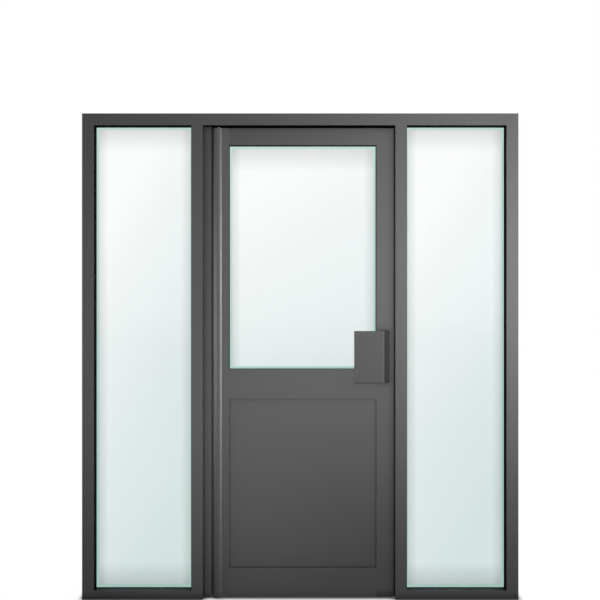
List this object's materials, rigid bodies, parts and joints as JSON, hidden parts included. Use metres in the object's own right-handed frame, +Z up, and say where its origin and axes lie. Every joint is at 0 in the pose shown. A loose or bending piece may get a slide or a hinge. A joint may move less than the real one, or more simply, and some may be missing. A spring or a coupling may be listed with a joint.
{
  "type": "glass door set",
  "caption": "Steel-framed glass door set: fixed side lights either side of a half-glazed double-action swing leaf with a round finger-safe hinge stile and folded pull plates.",
  "frame": {"origin": "on the floor, in the middle of the overall width and of the frame's depth", "axes": "+X to the right as seen from the front, +Y from front to back, +Z up"},
  "size_m": [1.916, 0.15, 2.135],
  "materials": {
    "powder_coated_steel": "satin",
    "satin_glass": "satin",
    "gasket_rubber": "matte",
    "brush_pile": "matte",
    "setting_block_plastic": "matte",
    "pivot_steel": "satin",
    "bearing_bronze": "satin",
    "panel_core_wool": "matte"
  },
  "bodies": {
    "frame": {"left_jamb": "powder_coated_steel", "right_jamb": "powder_coated_steel", "head_rail": "powder_coated_steel", "left_sill": "powder_coated_steel", "right_sill": "powder_coated_steel", "left_post": "powder_coated_steel", "right_post": "powder_coated_steel", "post_feet": "powder_coated_steel", "door_head_infill": "powder_coated_steel", "door_head_seal": "gasket_rubber", "finger_guard": "powder_coated_steel", "guard_brushes": "brush_pile", "left_light_glass": "satin_glass", "left_light_front_gasket": "gasket_rubber", "left_light_rear_gasket": "gasket_rubber", "left_light_beads": "powder_coated_steel", "left_light_blocks": "setting_block_plastic", "right_light_glass": "satin_glass", "right_light_front_gasket": "gasket_rubber", "right_light_rear_gasket": "gasket_rubber", "right_light_beads": "powder_coated_steel", "right_light_blocks": "setting_block_plastic", "floor_pivot": "pivot_steel", "top_pivot_bush": "bearing_bronze"},
    "leaf": {"hinge_stile": "powder_coated_steel", "hinge_stile_caps": "powder_coated_steel", "lock_stile": "powder_coated_steel", "lock_stile_caps": "powder_coated_steel", "leaf_top_rail": "powder_coated_steel", "leaf_mid_rail": "powder_coated_steel", "leaf_bottom_rail": "powder_coated_steel", "leaf_glass": "satin_glass", "leaf_glass_front_gasket": "gasket_rubber", "leaf_glass_rear_gasket": "gasket_rubber", "leaf_glass_beads": "powder_coated_steel", "leaf_glass_blocks": "setting_block_plastic", "panel_front_tray": "powder_coated_steel", "panel_rear_tray": "powder_coated_steel", "panel_core": "panel_core_wool", "panel_front_gasket": "gasket_rubber", "panel_rear_gasket": "gasket_rubber", "panel_beads": "powder_coated_steel", "panel_blocks": "setting_block_plastic", "bottom_bearing": "bearing_bronze", "closer_body": "pivot_steel", "top_pivot_housing": "pivot_steel", "top_pivot_pin": "pivot_steel", "front_pull_plate": "powder_coated_steel", "rear_pull_plate": "powder_coated_steel", "pull_screws": "powder_coated_steel", "pull_sleeve_nuts": "powder_coated_steel", "lock_edge_brush": "brush_pile", "top_edge_brush": "brush_pile", "bottom_edge_brush": "brush_pile"}
  },
  "joints": [
    {"name": "leaf_swing", "type": "hinge", "parent": "frame", "child": "leaf", "pos_m": [-0.363, 0, 0], "axis": [0, 0, 1], "range_deg": [-90, 90], "stiffness_Nm_per_rad": 30}
  ]
}
